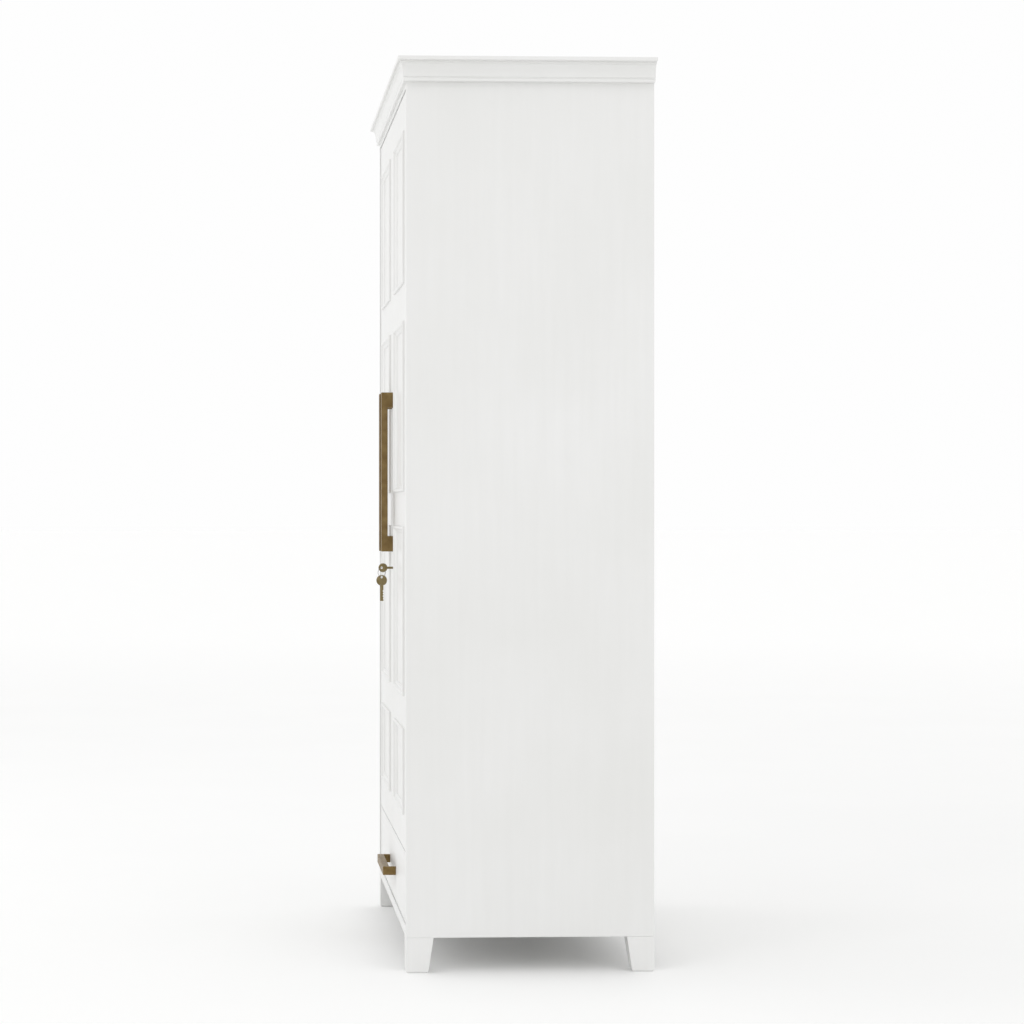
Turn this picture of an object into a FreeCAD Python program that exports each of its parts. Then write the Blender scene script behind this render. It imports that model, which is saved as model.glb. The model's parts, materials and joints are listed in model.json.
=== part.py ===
"""Two-door armoire with one full-width drawer: white lacquered carcass, inset frame-and-panel
doors, mitred cornice, tapered feet, bar handles and a cam lock with its key and a spare key.

Millimetres. +Z is up, the front faces -Y, +X is the viewer's right. The origin is on the floor
under the centre of the whole piece.
"""
import FreeCAD, Part
import os

from FreeCAD import Placement, Rotation, Vector

os.makedirs("parts", exist_ok=True)
doc = FreeCAD.newDocument("armoire")
sheet = doc.addObject("Spreadsheet::Sheet", "dims")
sheet.Label = "dims"

DIMENSIONS = {
    # whole case
    "case_width": 1000, "case_depth": 546, "total_height": 2000, "front_y": -253.5,
    "side_thickness": 20, "case_bottom_z": 77, "case_top_z": 1992, "board": 22,
    "top_strip_z": 1941, "back_thickness": 6, "front_setback": 28,
    # cornice and top board
    "cornice_bottom_z": 1951, "cornice_side": 50, "cornice_front": 21, "top_board": 8,
    # feet
    "foot_top": 60, "foot_base": 48, "foot_width": 54, "foot_base_width": 44,
    "foot_chamfer": 3,
    # doors
    "door_gap": 2.5, "door_recess": 2.6, "door_bottom_z": 258.5, "door_height": 1680,
    "door_thickness": 22,
    "stile": 78, "bottom_rail": 77, "lower_rail": 73, "middle_rail": 78, "upper_rail": 84,
    "top_rail": 80, "low_panel": 190.5, "third_panel": 378, "second_panel": 380,
    "panel_recess": 4.5, "panel_thickness": 8, "moulding_width": 16, "moulding_rise": 5,
    # drawer
    "drawer_bottom_z": 101, "drawer_top_z": 256, "divider_z": 248, "divider": 18,
    "drawer_side": 14, "drawer_box_height": 120, "drawer_box_depth": 450, "drawer_box_z": 112,
    "runner_space": 13, "runner_height": 45, "runner_length": 440, "runner_z": 150,
    "runner_member": 4, "runner_pitch": 4.5, "runner_step": 12,
    # shelf and hanging rail
    "shelf_z": 1640, "shelf_depth": 480, "cleat_height": 30, "cleat": 18,
    "rail_radius": 12.5, "rail_z": 1565, "socket_radius": 21, "socket_depth": 12,
    # handles
    "handle_reach": 27.8, "handle_bar": 15, "handle_width": 20, "door_handle_post": 36,
    "door_handle_length": 375.5, "door_handle_z": 915.5, "drawer_handle_length": 222,
    "drawer_handle_z": 160.5, "drawer_handle_post": 6, "screw_radius": 2,
    # hinges
    "cup_radius": 17.5, "cup_flange": 1.5, "cup_edge": 26, "arm_length": 22, "arm_depth": 9,
    "arm_height": 12, "plate": 5, "plate_depth": 46, "plate_height": 36, "plate_setback": 14,
    # lock and keys
    "lock_z": 877, "plug_radius": 8, "plug_clearance": 0.05, "rim_width": 3, "rim_depth": 1.2,
    "keyway": 2.4, "keyway_height": 9.4, "cam_length": 55, "cam_width": 14,
    "cam_thickness": 2.5, "bow_radius": 10.6, "key_thickness": 1.8, "key_bow_y": 23.5,
    "bow_hole_radius": 2.8, "bow_hole_inset": 7.6, "shank_height": 5.2, "key_in_plug": 12,
    "ring_radius": 11, "ring_wire": 0.6, "ring_turn": -55, "spare_bow_radius": 12.7,
    "spare_hole_inset": 5, "spare_blade": 8.2,
    "spare_length": 61.5, "notch": 3, "notch_pitch": 6, "notch_start": 4,
}

for row, (alias, value) in enumerate(DIMENSIONS.items(), start=1):
    sheet.set(f"A{row}", alias)
    sheet.set(f"B{row}", str(value))
    sheet.setAlias(f"B{row}", alias)
doc.recompute()

sub_parts = []
INWARD = Vector(0, 1, 0)


def dim(alias):
    """The sheet's value of one driving dimension."""
    return float(sheet.get(alias))


def cell(expression):
    """Point every alias in an expression at the sheet."""
    words = expression.replace("(", " ( ").replace(")", " ) ").split()
    return " ".join(f"<<dims>>.{word}" if word in DIMENSIONS else word for word in words)


def box(name, size, place):
    """A board: its three sizes and its lowest corner are expressions on the sheet."""
    made = doc.addObject("Part::Box", name)
    for prop, expression in zip(("Length", "Width", "Height"), size):
        made.setExpression(prop, cell(expression))
    for axis, expression in zip("xyz", place):
        made.setExpression(f".Placement.Base.{axis}", cell(expression))
    return made


def rod(name, radius, length, place, axis):
    """A round bar whose start is `place` and whose direction is `axis`."""
    made = doc.addObject("Part::Cylinder", name)
    made.setExpression("Radius", cell(radius))
    made.setExpression("Height", cell(length))
    made.Placement = Placement(Vector(), Rotation(Vector(0, 0, 1), axis))
    for letter, expression in zip("xyz", place):
        made.setExpression(f".Placement.Base.{letter}", cell(expression))
    return made


def fused(name, pieces):
    made = doc.addObject("Part::MultiFuse", name)
    made.Shapes = pieces
    return made


def cut(name, base, tool):
    made = doc.addObject("Part::Cut", name)
    made.Base = base
    made.Tool = tool
    return made


def group(name, pieces):
    """Several separate solids of one kind kept together as one sub-part."""
    made = doc.addObject("Part::Compound", name)
    made.Links = pieces
    return made


def shaped(name, shape):
    """A sub-part whose faces are ruled between profiles, which no primitive makes."""
    made = doc.addObject("Part::Feature", name)
    made.Shape = shape
    made.Placement = Placement()
    return made


def between(first, second):
    """The closed solid ruled from one closed outline to another with matching edges."""
    faces = [Part.makeRuledSurface(a, b) for a, b in zip(first, second)]
    faces += [Part.Face(Part.Wire(first)), Part.Face(Part.Wire(second))]
    shell = Part.makeShell(faces)
    shell.sewShape()
    solid = Part.makeSolid(shell)
    if solid.Volume < 0:
        solid.reverse()
    return solid


def keep(made, label):
    """Mark an object as one of the sub-parts written out."""
    made.Label = label
    sub_parts.append(made)
    return made


# ---------------------------------------------------------------- carcass
INNER_WIDTH = "case_width - 2 * side_thickness"
INNER_X = "side_thickness - case_width / 2"
BACK_Y = "front_y + case_depth"
BOARD_DEPTH = "case_depth - back_thickness"
FACE_Y = "front_y + door_recess"
INNER_BACK_Y = "front_y + door_recess + door_thickness"
INNER_HALF = "( case_width / 2 - side_thickness )"
LOCK_X = "( door_gap / 2 + stile / 2 )"


def carcass():
    side_size = ("side_thickness", "case_depth", "case_top_z - case_bottom_z")
    keep(box("left_side", side_size, ("0 - case_width / 2", "front_y", "case_bottom_z")),
         "left_side_panel")
    keep(box("right_side", side_size,
             ("case_width / 2 - side_thickness", "front_y", "case_bottom_z")),
         "right_side_panel")
    keep(box("bottom_board", (INNER_WIDTH, BOARD_DEPTH, "board"),
             (INNER_X, "front_y", "case_bottom_z")), "carcass_bottom")
    keep(box("top_panel", (INNER_WIDTH, BOARD_DEPTH, "board"),
             (INNER_X, "front_y", "top_strip_z")), "carcass_top")
    keep(box("divider_board", (INNER_WIDTH, "case_depth - back_thickness - front_setback",
                               "divider"),
             (INNER_X, "front_y + front_setback", "divider_z")), "drawer_divider")
    keep(box("back", (INNER_WIDTH, "back_thickness", "case_top_z - case_bottom_z"),
             (INNER_X, f"{BACK_Y} - back_thickness", "case_bottom_z")), "back_panel")
    keep(box("shelf", (INNER_WIDTH, "shelf_depth", "divider"),
             (INNER_X, f"{BACK_Y} - back_thickness - shelf_depth", "shelf_z")), "top_shelf")
    cleat_size = ("cleat", "shelf_depth - 20", "cleat_height")
    cleat_y = f"{BACK_Y} - back_thickness - shelf_depth + 20"
    keep(box("cleat_left", cleat_size, (INNER_X, cleat_y, "shelf_z - cleat_height")),
         "left_shelf_cleat")
    keep(box("cleat_right", cleat_size,
             ("case_width / 2 - side_thickness - cleat", cleat_y, "shelf_z - cleat_height")),
         "right_shelf_cleat")


def hanging_rail():
    """A round rail between two flanged cups screwed to the side panels."""
    rail_y = "front_y + case_depth / 2"
    keep(rod("rail", "rail_radius", f"{INNER_WIDTH} - 6", (f"{INNER_X} + 3", rail_y, "rail_z"),
             Vector(1, 0, 0)), "hanging_rail")
    for side, start, axis in (("left", INNER_X, Vector(1, 0, 0)),
                              ("right", "case_width / 2 - side_thickness", Vector(-1, 0, 0))):
        lift = "+" if axis.x > 0 else "-"
        flange = rod(f"{side}_flange", "socket_radius", "3", (start, rail_y, "rail_z"), axis)
        cup = rod(f"{side}_cup", "rail_radius + 3.5", "socket_depth",
                  (start, rail_y, "rail_z"), axis)
        hollow = rod(f"{side}_hollow", "rail_radius + 0.1", "socket_depth",
                     (f"{start} {lift} 3", rail_y, "rail_z"), axis)
        keep(cut(f"{side}_socket", fused(f"{side}_cup_body", [flange, cup]), hollow),
             f"{side}_rail_socket")


def foot(name, side, front):
    """A foot flush with the case on its two outer faces and tapering on its two inner ones."""
    block = doc.addObject("Part::Wedge", f"{name}_block")
    for end, width, depth in (("", "foot_base_width", "foot_base"),
                              ("2", "foot_width", "foot_top")):
        low_x, high_x = ("0", width) if side < 0 else (f"0 - {width}", "0")
        low_z, high_z = (f"0 - {depth}", "0") if front else ("0", depth)
        block.setExpression(f"X{end}min", cell(low_x))
        block.setExpression(f"X{end}max", cell(high_x))
        block.setExpression(f"Z{end}min", cell(low_z))
        block.setExpression(f"Z{end}max", cell(high_z))
    block.setExpression("Ymin", "0")
    block.setExpression("Ymax", cell("case_bottom_z"))
    block.Placement = Placement(Vector(), Rotation(Vector(1, 0, 0), 90))
    block.setExpression(".Placement.Base.x", cell("case_width / 2" if side > 0
                                                  else "0 - case_width / 2"))
    block.setExpression(".Placement.Base.y", cell("front_y" if front else BACK_Y))
    doc.recompute()
    made = doc.addObject("Part::Chamfer", name)
    made.Base = block
    made.Edges = [(n, dim("foot_chamfer"), dim("foot_chamfer"))
                  for n, edge in enumerate(block.Shape.Edges, start=1)
                  if edge.BoundBox.ZMax < 0.1]
    keep(made, name)


# ---------------------------------------------------------------- cornice
def cornice_line(place, bottom, top):
    """The cornice profile as edges. place(p, z) puts a point at share p of the overhang."""
    rise = top - bottom

    def at(share, level):
        return place(share, bottom + level * rise)

    def curve(*poles):
        bend = Part.BezierCurve()
        bend.setPoles([at(*pole) for pole in poles])
        return bend.toShape()

    def straight(start, end):
        return Part.makeLine(at(*start), at(*end))

    return [
        straight((0, 0), (0.30, 0)),
        curve((0.30, 0), (0.34, 0.07), (0.34, 0.14), (0.31, 0.17)),
        straight((0.31, 0.17), (0.31, 0.21)),
        straight((0.31, 0.21), (0.36, 0.23)),
        curve((0.36, 0.23), (0.40, 0.45), (0.44, 0.68), (0.55, 0.86)),
        straight((0.55, 0.86), (0.72, 0.93)),
        straight((0.72, 0.93), (0.72, 1)),
        straight((0.72, 1), (0, 1)),
        straight((0, 1), (0, 0)),
    ]


def cornice():
    """Three mitred lengths under a thin top board."""
    half = dim("case_width") / 2
    front = dim("front_y")
    back = front + dim("case_depth")
    side_reach = dim("cornice_side")
    front_reach = dim("cornice_front")
    bottom = dim("cornice_bottom_z")
    top = dim("total_height") - dim("top_board")

    def mitre(side):
        def place(share, z):
            return Vector(side * (half + side_reach * share), front - front_reach * share, z)
        return cornice_line(place, bottom, top)

    def end(side):
        def place(share, z):
            return Vector(side * (half + side_reach * share), back, z)
        return cornice_line(place, bottom, top)

    keep(shaped("cornice_front", between(mitre(-1), mitre(1))), "cornice_front")
    for side, name in ((-1, "cornice_left"), (1, "cornice_right")):
        keep(shaped(name, between(mitre(side), end(side))), name)
    board = box("top_cover", ("case_width + 2 * cornice_side", "case_depth + cornice_front",
                              "top_board"),
                ("0 - case_width / 2 - cornice_side", "front_y - cornice_front",
                 "total_height - top_board"))
    keep(board, "cornice_top_board")


# ---------------------------------------------------------------- doors
def moulding_length(outer, inner, across):
    """One mitred length of panel moulding.

    outer and inner are its two ends, each a pair of points: on the opening's edge and one
    moulding width inward. across(point pair, share, y) blends between the pair.
    """
    face = dim("front_y") + dim("door_recess")
    seat = face + dim("panel_recess")
    crest = face - dim("moulding_rise")

    def section(pair):
        def at(share, y):
            return across(pair, share, y)

        def curve(*poles):
            bend = Part.BezierCurve()
            bend.setPoles([at(*pole) for pole in poles])
            return bend.toShape()

        return [
            Part.makeLine(at(0, seat), at(0, face - 1)),
            curve((0, face - 1), (0, crest), (0.10, crest), (0.26, crest)),
            curve((0.26, crest), (0.50, crest), (0.46, face + 0.5), (0.66, face + 0.5)),
            curve((0.66, face + 0.5), (0.86, face + 0.5), (0.92, face + 2), (1, seat - 0.8)),
            Part.makeLine(at(1, seat - 0.8), at(1, seat)),
            Part.makeLine(at(1, seat), at(0, seat)),
        ]

    return between(section(outer), section(inner))


def moulding_frame(low_x, high_x, low_z, high_z):
    """The four mitred lengths round one panel."""
    width = dim("moulding_width")
    outer = [(low_x, low_z), (high_x, low_z), (high_x, high_z), (low_x, high_z)]
    inner = [(low_x + width, low_z + width), (high_x - width, low_z + width),
             (high_x - width, high_z - width), (low_x + width, high_z - width)]

    def across(pair, share, y):
        (x0, z0), (x1, z1) = pair
        return Vector(x0 + (x1 - x0) * share, y, z0 + (z1 - z0) * share)

    lengths = []
    for corner in range(4):
        following = (corner + 1) % 4
        lengths.append(moulding_length((outer[corner], inner[corner]),
                                       (outer[following], inner[following]), across))
    return lengths


RAILS = ["bottom_rail", "lower_rail", "middle_rail", "upper_rail", "top_rail"]
PANELS = ["low_panel", "third_panel", "second_panel"]
DOOR_WIDTH = "( case_width / 2 - side_thickness - 1.5 * door_gap )"
PANEL_WIDTH = f"( {DOOR_WIDTH} - 2 * stile )"
PANEL_FACE_Y = f"{FACE_Y} + panel_recess"
TOP_PANEL = ("( door_height - bottom_rail - low_panel - lower_rail - third_panel - middle_rail"
             " - second_panel - upper_rail - top_rail )")


def bar_handle(name, length_axis, start, length, post):
    """A square bar on two posts. start is its lowest corner against the front face."""
    x, z = start
    reach_y = "front_y - handle_reach"
    post_depth = "handle_reach + door_recess"
    if length_axis == "z":
        bar = box(f"{name}_bar", ("handle_width", "handle_bar", length), (x, reach_y, z))
        posts = [box(f"{name}_post_low", ("handle_width", post_depth, post), (x, reach_y, z)),
                 box(f"{name}_post_high", ("handle_width", post_depth, post),
                     (x, reach_y, f"{z} + {length} - {post}"))]
    else:
        bar = box(f"{name}_bar", (length, "handle_bar", "handle_width"), (x, reach_y, z))
        posts = [box(f"{name}_post_low", (post, post_depth, "handle_width"), (x, reach_y, z)),
                 box(f"{name}_post_high", (post, post_depth, "handle_width"),
                     (f"{x} + {length} - {post}", reach_y, z))]
    keep(fused(name, [bar] + posts), name)


def handle_screws(name, points):
    """Screw heads on the inner face, each straight behind a handle post."""
    heads = [rod(f"{name}_{n}", "2 * screw_radius", "2.2", (x, y, z), Vector(0, 1, 0))
             for n, (x, y, z) in enumerate(points)]
    keep(group(name, heads), name)


def door(side_name, side):
    """One inset door. side is +1 for the right door and -1 for the left."""
    edge_x = "door_gap / 2" if side > 0 else f"0 - door_gap / 2 - {DOOR_WIDTH}"
    meeting_x = edge_x if side > 0 else f"{edge_x} + {DOOR_WIDTH} - stile"
    hinge_x = f"{edge_x} + {DOOR_WIDTH} - stile" if side > 0 else edge_x
    stile_size = ("stile", "door_thickness", "door_height")
    keep(box(f"{side_name}_hinge_side", stile_size, (hinge_x, FACE_Y, "door_bottom_z")),
         f"{side_name}_door_hinge_stile")
    meeting = box(f"{side_name}_meeting_side", stile_size,
                  (meeting_x, FACE_Y, "door_bottom_z"))
    if side > 0:
        bore = rod("lock_bore", "plug_radius + plug_clearance", "door_thickness",
                   (LOCK_X, FACE_Y, "lock_z"), INWARD)
        meeting = cut("bored_stile", meeting, bore)
    keep(meeting, f"{side_name}_door_meeting_stile")
    inner_x = f"{edge_x} + stile"
    low_z = "door_bottom_z"
    rails = []
    panels = []
    lengths = []
    panel_heights = PANELS + [TOP_PANEL]
    panel_x = dim("door_gap") / 2 + dim("stile")
    door_width = dim("case_width") / 2 - dim("side_thickness") - 1.5 * dim("door_gap")
    panel_width = door_width - 2 * dim("stile")
    if side < 0:
        panel_x = -panel_x - panel_width
    z = dim("door_bottom_z")
    above = dim("door_height") - sum(dim(rail) for rail in RAILS) - sum(map(dim, PANELS))
    heights = [dim(panel) for panel in PANELS] + [above]
    for n, rail in enumerate(RAILS):
        rails.append(box(f"{side_name}_rail_{n}", (PANEL_WIDTH, "door_thickness", rail),
                         (inner_x, FACE_Y, low_z)))
        low_z = f"{low_z} + {rail}"
        z += dim(rail)
        if n < len(panel_heights):
            panels.append(box(f"{side_name}_panel_{n}",
                              (PANEL_WIDTH, "panel_thickness", panel_heights[n]),
                              (inner_x, PANEL_FACE_Y, low_z)))
            lengths += moulding_frame(panel_x, panel_x + panel_width, z, z + heights[n])
            low_z = f"{low_z} + {panel_heights[n]}"
            z += heights[n]
    keep(group(f"{side_name}_rails", rails), f"{side_name}_door_rails")
    keep(group(f"{side_name}_panels", panels), f"{side_name}_door_panels")
    keep(shaped(f"{side_name}_mouldings", Part.makeCompound(lengths)),
         f"{side_name}_door_mouldings")
    handle_x = f"{meeting_x} + ( stile - handle_width ) / 2"
    bar_handle(f"{side_name}_door_handle", "z", (handle_x, "door_handle_z"),
               "door_handle_length", "door_handle_post")
    screw_x = f"{meeting_x} + stile / 2"
    back_y = INNER_BACK_Y
    handle_screws(f"{side_name}_door_handle_screws",
                  [(screw_x, back_y, "door_handle_z + door_handle_post / 2"),
                   (screw_x, back_y,
                    "door_handle_z + door_handle_length - door_handle_post / 2")])
    hinges(side_name, side)


HINGE_LEVELS = (0.06, 0.36, 0.64, 0.94)


def hinges(side_name, side):
    """Four concealed hinges: a cup with its arm on the door, a plate on the side panel."""
    cups = []
    plates = []
    for n, level in enumerate(HINGE_LEVELS):
        z = f"door_bottom_z + {level} * door_height"
        cup_x = f"{INNER_HALF} - cup_edge"
        arm_x = f"{INNER_HALF} - 8 - arm_length"
        plate_x = f"{INNER_HALF} - plate"
        if side < 0:
            cup_x = f"0 - ( {cup_x} )"
            arm_x = f"0 - {INNER_HALF} + 8"
            plate_x = f"0 - {INNER_HALF}"
        cup = rod(f"{side_name}_cup_{n}", "cup_radius", "cup_flange", (cup_x, INNER_BACK_Y, z),
                  INWARD)
        arm = box(f"{side_name}_arm_{n}", ("arm_length", "arm_depth", "arm_height"),
                  (arm_x, f"{INNER_BACK_Y} + cup_flange", f"{z} - arm_height / 2"))
        cups.append(fused(f"{side_name}_hinge_{n}", [cup, arm]))
        plates.append(box(f"{side_name}_plate_{n}", ("plate", "plate_depth", "plate_height"),
                          (plate_x, f"{INNER_BACK_Y} + plate_setback",
                           f"{z} - plate_height / 2")))
    keep(group(f"{side_name}_hinge_cups", cups), f"{side_name}_door_hinge_cups")
    keep(group(f"{side_name}_hinge_plates", plates), f"{side_name}_hinge_plates")


# ---------------------------------------------------------------- lock and keys
def lock():
    """A cam lock through the right door's meeting stile, unlocked, with its key in place."""
    rim_y = f"{FACE_Y} - rim_depth"
    rim = rod("rim", "plug_radius + rim_width", "rim_depth", (LOCK_X, rim_y, "lock_z"), INWARD)
    rim_hole = rod("rim_hole", "plug_radius + plug_clearance", "rim_depth",
                   (LOCK_X, rim_y, "lock_z"), INWARD)
    keep(cut("escutcheon", rim, rim_hole), "lock_escutcheon")
    plug_y = f"{FACE_Y} - 1"
    plug = rod("plug_bar", "plug_radius", "door_thickness + 3", (LOCK_X, plug_y, "lock_z"),
               INWARD)
    slot = box("keyway_slot", ("keyway", "key_in_plug + 2", "keyway_height"),
               (f"{LOCK_X} - keyway / 2", plug_y, "lock_z - keyway_height / 2"))
    keep(cut("plug", plug, slot), "lock_plug")
    keep(box("cam", ("cam_width", "cam_thickness", "cam_length"),
             (f"{LOCK_X} - cam_width / 2", f"{INNER_BACK_Y} + 2", "lock_z - cam_width / 2")),
         "lock_cam")


def keys():
    """The key in the lock, a ring through its bow and a spare key hanging on the ring."""
    plate_x = f"{LOCK_X} - key_thickness / 2"
    bow_y = "front_y - key_bow_y"
    hole_y = f"{bow_y} - bow_radius + bow_hole_inset"
    across = Vector(1, 0, 0)
    bow = rod("bow", "bow_radius", "key_thickness", (plate_x, bow_y, "lock_z"), across)
    shank = box("shank", ("key_thickness", "key_bow_y - 4 + door_recess + key_in_plug", "shank_height"),
                (plate_x, f"{bow_y} + 4", "lock_z - shank_height / 2"))
    hole = rod("bow_hole", "bow_hole_radius", "key_thickness", (plate_x, hole_y, "lock_z"),
               across)
    keep(cut("key_shape", fused("key_blank", [bow, shank]), hole), "key")

    ring = doc.addObject("Part::Torus", "ring")
    ring.setExpression("Radius1", cell("ring_radius"))
    ring.setExpression("Radius2", cell("ring_wire"))
    upright = Rotation(Vector(0, 0, 1), Vector(0, 1, 0))
    ring.Placement = Placement(Vector(), Rotation(Vector(0, 0, 1), dim("ring_turn")) * upright)
    for letter, expression in zip("xyz", (LOCK_X, hole_y, "lock_z - ring_radius")):
        ring.setExpression(f".Placement.Base.{letter}", cell(expression))
    keep(ring, "key_ring")

    hang_z = "( lock_z - 2 * ring_radius )"
    top_z = f"( {hang_z} + spare_hole_inset )"
    spare_bow = rod("spare_bow", "spare_bow_radius", "key_thickness",
                    (plate_x, hole_y, f"{top_z} - spare_bow_radius"), across)
    blade = box("spare_blade_bar",
                ("key_thickness", "spare_blade", "spare_length - spare_bow_radius"),
                (plate_x, f"{hole_y} - spare_blade / 2", f"{top_z} - spare_length"))
    spare_hole = rod("spare_hole", "bow_hole_radius", "key_thickness", (plate_x, hole_y, hang_z),
                     across)
    notches = []
    for n, depth in enumerate((1.0, 1.6, 1.0, 1.6)):
        notches.append(box(f"notch_{n}", ("key_thickness", f"{depth}", "notch"),
                           (plate_x, f"{hole_y} + spare_blade / 2 - {depth}",
                            f"{top_z} - spare_length + notch_start + {n} * notch_pitch")))
    keep(cut("spare", fused("spare_blank", [spare_bow, blade]),
             fused("spare_cuts", [spare_hole] + notches)), "spare_key")


# ---------------------------------------------------------------- drawer
def drawer():
    """A board front on a four-sided box with a bottom, hung on telescopic runners."""
    front_x = f"{INNER_X} + door_gap"
    front_width = f"( {INNER_WIDTH} - 2 * door_gap )"
    box_x = f"{INNER_X} + runner_space"
    box_width = f"( {INNER_WIDTH} - 2 * runner_space )"
    box_y = INNER_BACK_Y
    keep(box("front_board", (front_width, "door_thickness", "drawer_top_z - drawer_bottom_z"),
             (front_x, FACE_Y, "drawer_bottom_z")), "drawer_front")
    side_size = ("drawer_side", "drawer_box_depth", "drawer_box_height")
    keep(box("drawer_side_l", side_size, (box_x, box_y, "drawer_box_z")), "drawer_left_side")
    keep(box("drawer_side_r", side_size,
             (f"{box_x} + {box_width} - drawer_side", box_y, "drawer_box_z")),
         "drawer_right_side")
    rear_size = (f"{box_width} - 2 * drawer_side", "drawer_side", "drawer_box_height")
    keep(box("drawer_rear", rear_size, (f"{box_x} + drawer_side",
                                        f"{box_y} + drawer_box_depth - drawer_side",
                                        "drawer_box_z")), "drawer_back")
    keep(box("drawer_base", (f"{box_width} - 2 * drawer_side", "drawer_box_depth - drawer_side",
                             "6"), (f"{box_x} + drawer_side", box_y, "drawer_box_z + 8")),
         "drawer_bottom")
    bar_handle("drawer_handle", "x", ("0 - drawer_handle_length / 2", "drawer_handle_z"),
               "drawer_handle_length", "drawer_handle_post")
    screw_z = "drawer_handle_z + handle_width / 2"
    screw_x = "drawer_handle_length / 2 - drawer_handle_post / 2"
    handle_screws("drawer_handle_screws",
                  [(f"0 - ( {screw_x} )", INNER_BACK_Y, screw_z),
                   (screw_x, INNER_BACK_Y, screw_z)])
    runners()


def runners():
    """Three flat members a side. The middle one travels half as far as the drawer."""
    for layer, name in enumerate(("outer", "middle", "inner")):
        height = f"runner_height - {layer} * runner_step"
        low_z = f"runner_z + {layer} * runner_step / 2"
        offset = f"{layer} * runner_pitch"
        for side_name, low_x in (("left", f"{INNER_X} + {offset}"),
                                 ("right", f"{INNER_HALF} - {offset} - runner_member")):
            keep(box(f"{side_name}_{name}_member", ("runner_member", "runner_length", height),
                     (low_x, f"{INNER_BACK_Y} + 4", low_z)), f"{side_name}_runner_{name}")


def write_out():
    """Check every object and write one file for each sub-part."""
    doc.recompute()
    for made in doc.Objects:
        if "Invalid" in made.State or "Error" in made.State:
            raise RuntimeError(f"{made.Label} did not recompute: {made.State}")
    for made in sub_parts:
        if made.Shape.isNull() or not made.Shape.isValid() or made.Shape.Volume <= 0:
            raise RuntimeError(f"{made.Label} has no valid shape")
        made.Shape.exportStep(f"parts/{made.Label}.step")
    print(len(sub_parts), "sub-parts written")


carcass()
hanging_rail()
for foot_name, foot_side, at_front in (("front_left_foot", -1, True),
                                       ("front_right_foot", 1, True),
                                       ("rear_left_foot", -1, False),
                                       ("rear_right_foot", 1, False)):
    foot(foot_name, foot_side, at_front)
cornice()
door("left", -1)
door("right", 1)
lock()
keys()
drawer()
write_out()
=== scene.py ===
import json
import math

import bmesh
import bpy
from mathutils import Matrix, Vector

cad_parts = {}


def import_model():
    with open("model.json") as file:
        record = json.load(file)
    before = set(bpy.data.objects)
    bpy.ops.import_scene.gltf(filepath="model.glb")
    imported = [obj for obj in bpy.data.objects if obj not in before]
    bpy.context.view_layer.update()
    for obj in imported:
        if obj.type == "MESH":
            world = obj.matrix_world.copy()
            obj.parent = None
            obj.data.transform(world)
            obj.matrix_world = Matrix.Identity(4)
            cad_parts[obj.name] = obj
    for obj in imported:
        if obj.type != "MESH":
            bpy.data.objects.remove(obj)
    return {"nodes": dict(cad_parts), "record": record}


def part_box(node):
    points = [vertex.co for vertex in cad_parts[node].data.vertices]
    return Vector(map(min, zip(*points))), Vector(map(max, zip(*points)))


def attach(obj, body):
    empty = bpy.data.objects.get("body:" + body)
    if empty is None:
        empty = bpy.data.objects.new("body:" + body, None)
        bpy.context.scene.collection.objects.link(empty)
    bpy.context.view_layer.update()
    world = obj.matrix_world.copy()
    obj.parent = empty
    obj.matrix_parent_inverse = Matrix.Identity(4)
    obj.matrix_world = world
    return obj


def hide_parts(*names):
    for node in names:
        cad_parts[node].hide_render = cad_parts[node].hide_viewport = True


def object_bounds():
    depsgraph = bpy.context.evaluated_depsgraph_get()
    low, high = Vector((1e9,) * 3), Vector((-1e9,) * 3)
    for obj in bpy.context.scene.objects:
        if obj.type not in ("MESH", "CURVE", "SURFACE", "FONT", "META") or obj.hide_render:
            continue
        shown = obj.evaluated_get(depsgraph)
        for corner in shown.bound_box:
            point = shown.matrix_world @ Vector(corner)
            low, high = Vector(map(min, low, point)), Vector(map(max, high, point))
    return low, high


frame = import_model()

CAD_BOUNDS = [list(corner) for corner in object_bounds()]
NODES = frame["nodes"]
SLOT_OF = {part["node"]: part["material_slot"] for part in frame["record"]["subparts"]}
MM = 0.001


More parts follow.
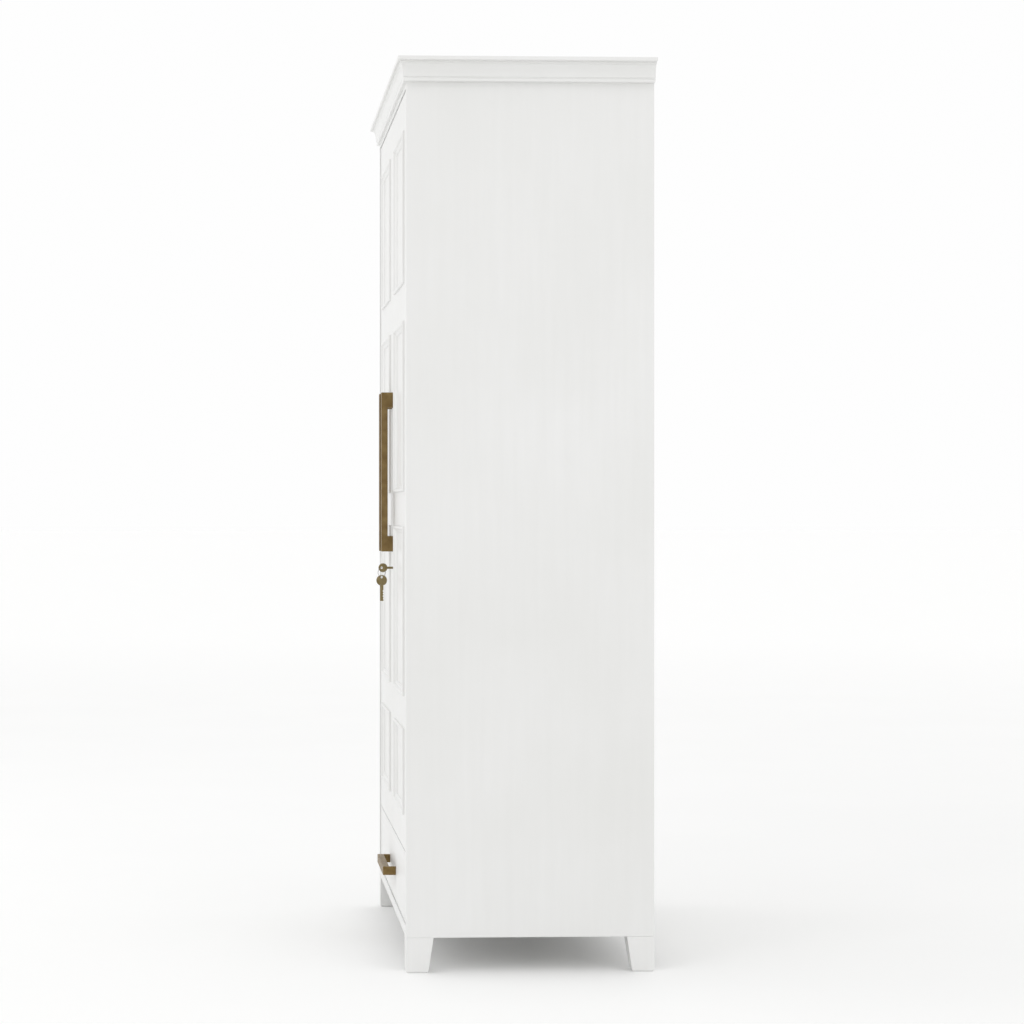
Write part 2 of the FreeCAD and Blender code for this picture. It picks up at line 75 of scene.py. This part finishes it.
# ---------------------------------------------------------------- material helpers
class Shader:
    """A Principled material with short names for the nodes it is built from."""

    def __init__(self, name):
        self.material = bpy.data.materials.new(name)
        self.material.use_nodes = True
        self.tree = self.material.node_tree
        self.surface = self.tree.nodes["Principled BSDF"]
        self.place = self.node("ShaderNodeTexCoord").outputs["Object"]

    def node(self, kind, **settings):
        made = self.tree.nodes.new(kind)
        for key, value in settings.items():
            setattr(made, key, value)
        return made

    def link(self, source, target):
        self.tree.links.new(source, target)

    def stretched(self, scale):
        mapping = self.node("ShaderNodeMapping")
        mapping.inputs["Scale"].default_value = scale
        self.link(self.place, mapping.inputs["Vector"])
        return mapping.outputs["Vector"]

    def noise(self, scale, detail=4.0, stretch=None, rough=0.55):
        made = self.node("ShaderNodeTexNoise")
        made.inputs["Scale"].default_value = scale
        made.inputs["Detail"].default_value = detail
        made.inputs["Roughness"].default_value = rough
        self.link(self.stretched(stretch) if stretch else self.place, made.inputs["Vector"])
        return made.outputs["Fac"]

    def ramp(self, value, stops):
        made = self.node("ShaderNodeValToRGB")
        elements = made.color_ramp.elements
        for element, (position, colour) in zip(elements, (stops[0], stops[-1])):
            element.position = position
            element.color = (*colour, 1.0)
        for position, colour in stops[1:-1]:
            elements.new(position).color = (*colour, 1.0)
        self.link(value, made.inputs["Fac"])
        return made.outputs["Color"]

    def spread(self, value, low, high, from_low=0.3, from_high=0.7):
        made = self.node("ShaderNodeMapRange")
        made.inputs["From Min"].default_value = from_low
        made.inputs["From Max"].default_value = from_high
        made.inputs["To Min"].default_value = low
        made.inputs["To Max"].default_value = high
        self.link(value, made.inputs["Value"])
        return made.outputs["Result"]

    def mix(self, factor, first, second):
        made = self.node("ShaderNodeMix", data_type="RGBA")
        self.link(factor, made.inputs["Factor"])
        for value, socket in ((first, made.inputs["A"]), (second, made.inputs["B"])):
            if isinstance(value, tuple):
                socket.default_value = (*value, 1.0)
            else:
                self.link(value, socket)
        return made.outputs["Result"]

    def times(self, first, second):
        made = self.node("ShaderNodeMath", operation="MULTIPLY")
        self.link(first, made.inputs[0])
        self.link(second, made.inputs[1])
        return made.outputs[0]

    def edges(self, radius):
        """0 on flat faces, rising to 1 within `radius` of a sharp edge."""
        bevel = self.node("ShaderNodeBevel", samples=4)
        bevel.inputs["Radius"].default_value = radius
        geometry = self.node("ShaderNodeNewGeometry")
        dot = self.node("ShaderNodeVectorMath", operation="DOT_PRODUCT")
        self.link(bevel.outputs["Normal"], dot.inputs[0])
        self.link(geometry.outputs["True Normal"], dot.inputs[1])
        return self.spread(dot.outputs["Value"], 1.0, 0.0, 0.80, 0.995)

    def bump(self, height, strength, distance):
        made = self.node("ShaderNodeBump")
        made.inputs["Strength"].default_value = strength
        made.inputs["Distance"].default_value = distance
        self.link(height, made.inputs["Height"])
        self.link(made.outputs["Normal"], self.surface.inputs["Normal"])


def lacquer(name, grain):
    """White satin lacquer over board: roller texture, a trace of grain, and sharp edges and
    creases darkened in patches.

    grain stretches the noise so that it runs along the board.
    """
    made = Shader(name)
    cloud = made.noise(2.2, 3.0)
    tone = made.ramp(cloud, [(0.30, (0.775, 0.775, 0.760)), (0.70, (0.815, 0.815, 0.808))])
    streak = made.noise(9.0, 6.0, grain, 0.6)
    streaked = made.mix(made.spread(streak, 0.0, 0.30), tone, (0.745, 0.745, 0.730))
    patches = made.noise(38.0, 5.0)
    # Darker grey-yellow near sharp edges and creases, in noise patches.
    edge_darkening = made.times(made.edges(0.9 * MM), made.spread(patches, 0.0, 0.14, 0.45, 0.72))
    made.link(made.mix(edge_darkening, streaked, (0.72, 0.71, 0.68)), made.surface.inputs["Base Color"])
    sheen = made.noise(60.0, 3.0)
    made.link(made.spread(sheen, 0.36, 0.50), made.surface.inputs["Roughness"])
    made.surface.inputs["Coat Weight"].default_value = 0.12
    made.surface.inputs["Coat Roughness"].default_value = 0.28
    peel = made.noise(420.0, 2.0)
    height = made.mix(made.spread(streak, 0.2, 0.6), peel, streak)
    made.bump(height, 0.06, 0.15 * MM)
    return made.material


def board(name):
    """Matt white-faced board used inside, with a fine pressed texture."""
    made = Shader(name)
    tone = made.ramp(made.noise(5.0, 4.0), [(0.3, (0.73, 0.73, 0.71)),
                                            (0.7, (0.78, 0.78, 0.765))])
    fleck = made.noise(260.0, 3.0, (1.0, 0.25, 1.0))
    made.link(made.mix(made.spread(fleck, 0.0, 0.22), tone, (0.66, 0.65, 0.61)),
              made.surface.inputs["Base Color"])
    made.link(made.spread(fleck, 0.52, 0.68), made.surface.inputs["Roughness"])
    made.bump(fleck, 0.22, 0.2 * MM)
    return made.material


def metal(name, dark, light, wear_and_highlight, roughness, stretch, metallic=1.0, edge=1.3 * MM):
    """Brushed metal: drawn streaks, cloudy tarnish, and brighter edges that are partly real
    wear and partly a painted highlight.
    """
    made = Shader(name)
    cloud = made.noise(55.0, 5.0)
    brush = made.noise(160.0, 4.0, stretch, 0.7)
    tone = made.ramp(cloud, [(0.32, dark), (0.70, light)])
    drawn = made.mix(made.spread(brush, 0.0, 0.40), tone, light)
    chips = made.noise(210.0, 4.0)
    # Brighter patches along sharp edges: partly rubbed wear, partly a painted highlight.
    rubbed_and_highlit = made.times(made.edges(edge), made.spread(chips, 0.35, 1.0, 0.35, 0.60))
    made.link(made.mix(rubbed_and_highlit, drawn, wear_and_highlight), made.surface.inputs["Base Color"])
    made.surface.inputs["Metallic"].default_value = metallic
    made.link(made.spread(brush, roughness - 0.07, roughness + 0.10),
              made.surface.inputs["Roughness"])
    made.bump(brush, 0.20, 0.12 * MM)
    return made.material


ALONG_Z = (6.0, 6.0, 0.35)
ALONG_X = (0.35, 6.0, 6.0)
ALONG_Y = (6.0, 0.35, 6.0)

LACQUER = {
    "z": lacquer("white_lacquer_upright", ALONG_Z),
    "x": lacquer("white_lacquer_across", ALONG_X),
    "y": lacquer("white_lacquer_deep", ALONG_Y),
}
BOARD = board("inner_board_white")
# The third colour of each metal is its brighter edge colour: partly wear, partly a painted
# highlight.
BRASS_UPRIGHT = metal("antique_brass_upright", (0.150, 0.095, 0.035), (0.240, 0.165, 0.070),
                      (0.36, 0.30, 0.19), 0.40, (3.0, 3.0, 0.12), 0.85)
BRASS_ACROSS = metal("antique_brass_across", (0.158, 0.100, 0.034), (0.250, 0.172, 0.070),
                     (0.40, 0.33, 0.22), 0.40, (0.12, 3.0, 3.0), 0.85)
KEY_BRASS = metal("aged_key_brass", (0.165, 0.125, 0.055), (0.280, 0.225, 0.120),
                  (0.55, 0.49, 0.36), 0.34, (2.0, 2.0, 2.0), 1.0, 0.5 * MM)
RING_STEEL = metal("aged_ring_steel", (0.17, 0.16, 0.15), (0.30, 0.29, 0.28),
                   (0.48, 0.47, 0.46), 0.38, (2.0, 2.0, 2.0), 1.0, 0.4 * MM)
STEEL = metal("zinc_plated_steel", (0.40, 0.40, 0.41), (0.58, 0.58, 0.59),
              (0.74, 0.74, 0.75), 0.30, (2.0, 0.2, 2.0))


def long_axis(node):
    low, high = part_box(node)
    size = high - low
    return "xyz"[max(range(3), key=lambda n: size[n])]


def material_for(node):
    slot = SLOT_OF[node]
    if slot == "white_lacquer":
        return LACQUER[long_axis(node)]
    if slot == "inner_board":
        return BOARD
    if slot == "antique_brass":
        return BRASS_ACROSS if node == "drawer_handle" else BRASS_UPRIGHT
    return KEY_BRASS if slot == "key_brass" else STEEL


# ---------------------------------------------------------------- softened CAD edges
EDGE_RADIUS = {"white_lacquer": 1.0, "inner_board": 0.6, "antique_brass": 1.1,
               "key_brass": 0.35, "steel": 0.4}
ROUND_NODES = ("mouldings", "cornice_front", "cornice_left", "cornice_right")
FINE_EDGE = 0.45


def soften(node, radius):
    """Round a CAD node's sharp edges with modifiers, leaving its mesh as it is."""
    made = NODES[node]
    weld = made.modifiers.new("weld", "WELD")
    weld.merge_threshold = 0.02 * MM
    bevel = made.modifiers.new("edges", "BEVEL")
    bevel.width = radius * MM
    bevel.segments = 3
    bevel.limit_method = "ANGLE"
    bevel.angle_limit = math.radians(40)
    bevel.harden_normals = False


for node_name, node_object in NODES.items():
    node_object.data.materials.clear()
    node_object.data.materials.append(material_for(node_name))
    if not any(word in node_name for word in ROUND_NODES):
        in_door = ("door_" in node_name and "stile" in node_name) or "rails" in node_name
        soften(node_name, FINE_EDGE if in_door else EDGE_RADIUS[SLOT_OF[node_name]])


# ---------------------------------------------------------------- pieces
def finished(name, mesh_builder, material, body):
    """A new piece from a bmesh function, with its material and body."""
    mesh = bpy.data.meshes.new(name)
    work = bmesh.new()
    mesh_builder(work)
    bmesh.ops.recalc_face_normals(work, faces=work.faces)
    work.to_mesh(mesh)
    work.free()
    for face in mesh.polygons:
        face.use_smooth = True
    made = bpy.data.objects.new(name, mesh)
    bpy.context.scene.collection.objects.link(made)
    mesh.materials.append(material)
    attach(made, body)
    return made


def tube(work, points, radius, sides=12, closed=False):
    """A round tube through points, with flat caps when it is open."""
    rings = []
    count = len(points)
    for n, point in enumerate(points):
        before = points[n - 1] if n or closed else point
        after = points[(n + 1) % count] if n < count - 1 or closed else point
        along = (after - before).normalized()
        side = along.cross(Vector((0, 1, 0)))
        if side.length < 0.05:
            side = along.cross(Vector((1, 0, 0)))
        side.normalize()
        up = along.cross(side)
        ring = []
        for k in range(sides):
            turn = 2 * math.pi * k / sides
            ring.append(work.verts.new(point + radius * (math.cos(turn) * side
                                                         + math.sin(turn) * up)))
        rings.append(ring)
    for n in range(count if closed else count - 1):
        first, second = rings[n], rings[(n + 1) % count]
        for k in range(sides):
            following = (k + 1) % sides
            work.faces.new((first[k], first[following], second[following], second[k]))
    if not closed:
        work.faces.new(rings[0][::-1])
        work.faces.new(rings[-1])


# The ring's plane, turned about the upright from the plane of the doors.
RING_TURN = math.radians(-55)


def split_ring():
    """Nearly two turns of wound wire, side by side as in a split key ring."""
    low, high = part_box("key_ring")
    centre = (low + high) / 2
    wire = 0.5 * MM
    radius = (high.z - low.z) / 2 - wire
    turns = 1.92
    start = math.pi * 0.3
    steps = 110
    across = Vector((math.cos(RING_TURN), math.sin(RING_TURN), 0))
    normal = Vector((-math.sin(RING_TURN), math.cos(RING_TURN), 0))

    def build(work):
        points = []
        for n in range(steps + 1):
            share = n / steps
            angle = 2 * math.pi * turns * share + start
            points.append(centre + radius * math.cos(angle) * across
                          + (share - 0.5) * 2.0 * wire * normal
                          + Vector((0, 0, radius * math.sin(angle))))
        tube(work, points, wire)

    made = finished("split_ring", build, RING_STEEL, "key_ring_body")
    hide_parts("key_ring")


def bow_rim(name, node, body, bow_radius, centre_z, centre_y):
    """The raised rim pressed round both faces of a key's bow."""
    low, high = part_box(node)
    middle = (low.x + high.x) / 2
    half = (high.x - low.x) / 2
    steps = 56
    inset = 1.3 * MM

    def build(work):
        for side in (-1, 1):
            points = []
            for n in range(steps):
                turn = 2 * math.pi * n / steps
                points.append(Vector((middle + side * half,
                                      centre_y + (bow_radius - inset) * math.cos(turn),
                                      centre_z + (bow_radius - inset) * math.sin(turn))))
            tube(work, points, 0.45 * MM, 8, closed=True)

    finished(name, build, KEY_BRASS, body)


def lathe(work, centre, axis, outline, sides=32):
    """Turn (distance along axis, radius) pairs round an axis through centre."""
    side = axis.orthogonal().normalized()
    up = axis.cross(side)
    rings = []
    for along, radius in outline:
        ring = []
        for k in range(sides):
            turn = 2 * math.pi * k / sides
            ring.append(work.verts.new(centre + axis * along + radius
                                       * (math.cos(turn) * side + math.sin(turn) * up)))
        rings.append(ring)
    for first, second in zip(rings, rings[1:]):
        for k in range(sides):
            following = (k + 1) % sides
            work.faces.new((first[k], first[following], second[following], second[k]))
    work.faces.new(rings[0][::-1])
    work.faces.new(rings[-1])


def pan_heads(node, body):
    """Domed screw heads with a round recess in the top, in place of the plain discs."""
    low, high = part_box(node)
    radius = min(high.x - low.x, high.z - low.z) / 2
    height = high.y - low.y
    upright = (high.z - low.z) > (high.x - low.x)
    if upright:
        middle = (low.x + high.x) / 2
        centres = [Vector((middle, low.y, low.z + radius)),
                   Vector((middle, low.y, high.z - radius))]
    else:
        middle = (low.z + high.z) / 2
        centres = [Vector((low.x + radius, low.y, middle)),
                   Vector((high.x - radius, low.y, middle))]
    along = Vector((0, 1, 0))
    outline = [(0, radius), (0.30 * height, radius), (0.62 * height, 0.88 * radius),
               (0.86 * height, 0.62 * radius), (0.97 * height, 0.30 * radius),
               (0.72 * height, 0.20 * radius), (0.62 * height, 0.02 * radius)]

    def build(work):
        for centre in centres:
            lathe(work, centre, along, outline)

    made = finished(f"{node}_domed", build, STEEL, body)
    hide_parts(node)


split_ring()
key_low, key_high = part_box("key")
key_bow_radius = (key_high.z - key_low.z) / 2
bow_rim("key_bow_rim", "key", "key_in_lock", key_bow_radius, (key_low.z + key_high.z) / 2,
        key_low.y + key_bow_radius)
spare_low, spare_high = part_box("spare_key")
spare_bow_radius = (spare_high.y - spare_low.y) / 2
bow_rim("spare_key_bow_rim", "spare_key", "spare_key_body", spare_bow_radius,
        spare_high.z - spare_bow_radius, (spare_low.y + spare_high.y) / 2)
for screws_node, screws_body in (("left_door_handle_screws", "left_door"),
                                 ("right_door_handle_screws", "right_door"),
                                 ("drawer_handle_screws", "drawer")):
    pan_heads(screws_node, screws_body)


# ---------------------------------------------------------------- stage, light and camera
FLOOR_SIZE = 120.0
# Strength and reach of the floor's painted glow.
FAR_GLOW = 0.068
GLOW_START = 2.5
GLOW_END = 14.0


def floor():
    """A plain pale floor with a painted glow that rises with distance, so that it meets the
    white beyond.
    """
    mesh = bpy.data.meshes.new("studio_floor")
    work = bmesh.new()
    bmesh.ops.create_grid(work, x_segments=8, y_segments=8, size=FLOOR_SIZE)
    work.to_mesh(mesh)
    work.free()
    made = bpy.data.objects.new("studio_floor", mesh)
    bpy.context.scene.collection.objects.link(made)
    pale = Shader("pale_floor")
    tone = pale.ramp(pale.noise(1.5, 3.0), [(0.3, (0.955, 0.955, 0.95)),
                                            (0.7, (0.965, 0.965, 0.96))])
    pale.link(tone, pale.surface.inputs["Base Color"])
    pale.surface.inputs["Roughness"].default_value = 0.75
    # Painted glow: the floor emits white light, more the farther it lies from the origin.
    reach = pale.node("ShaderNodeVectorMath", operation="LENGTH")
    pale.link(pale.place, reach.inputs[0])
    pale.surface.inputs["Emission Color"].default_value = (1.0, 1.0, 1.0, 1.0)
    pale.link(pale.spread(reach.outputs["Value"], 0.0, FAR_GLOW, GLOW_START, GLOW_END),
              pale.surface.inputs["Emission Strength"])
    mesh.materials.append(pale.material)


def world():
    """White surroundings, a little brighter where they are seen than as a light."""
    made = bpy.data.worlds.new("studio")
    bpy.context.scene.world = made
    made.use_nodes = True
    tree = made.node_tree
    background = tree.nodes["Background"]
    background.inputs["Color"].default_value = (1.0, 1.0, 1.0, 1.0)
    path = tree.nodes.new("ShaderNodeLightPath")
    strength = tree.nodes.new("ShaderNodeMapRange")
    strength.inputs["To Min"].default_value = 0.96
    strength.inputs["To Max"].default_value = 0.99
    tree.links.new(path.outputs["Is Camera Ray"], strength.inputs["Value"])
    tree.links.new(strength.outputs["Result"], background.inputs["Strength"])


def softbox(name, place, target, size, power):
    light = bpy.data.lights.new(name, "AREA")
    light.shape = "RECTANGLE"
    light.size, light.size_y = size
    light.energy = power
    made = bpy.data.objects.new(name, light)
    made.location = place
    made.rotation_euler = (Vector(target) - Vector(place)).to_track_quat("-Z", "Y").to_euler()
    bpy.context.scene.collection.objects.link(made)


LENS = 91.83
CAMERA_BEFORE_BACK = 0.938
CAMERA_PLACE = Vector((6.204, CAD_BOUNDS[1][1] - CAMERA_BEFORE_BACK, 1.016))
CAMERA_FORWARD = Vector((-0.99916, 0.04097, 0.0))


def camera():
    made = bpy.data.objects.new("camera", bpy.data.cameras.new("camera"))
    made.data.lens = LENS
    made.data.sensor_width = 36.0
    made.data.shift_x = 0.1738
    made.data.shift_y = -0.003
    made.location = CAMERA_PLACE
    made.rotation_euler = CAMERA_FORWARD.to_track_quat("-Z", "Y").to_euler()
    bpy.context.scene.collection.objects.link(made)
    bpy.context.scene.camera = made


floor()
world()
MIDDLE = (0.0, 0.0, 1.1)
softbox("key_light", (4.2, -3.4, 5.2), MIDDLE, (2.2, 2.2), 26)
softbox("front_light", (-1.6, -5.0, 2.6), MIDDLE, (3.0, 3.0), 28)
softbox("side_light", (5.5, 3.0, 2.6), MIDDLE, (3.0, 3.0), 11)
camera()
bpy.context.scene.view_settings.view_transform = "Standard"
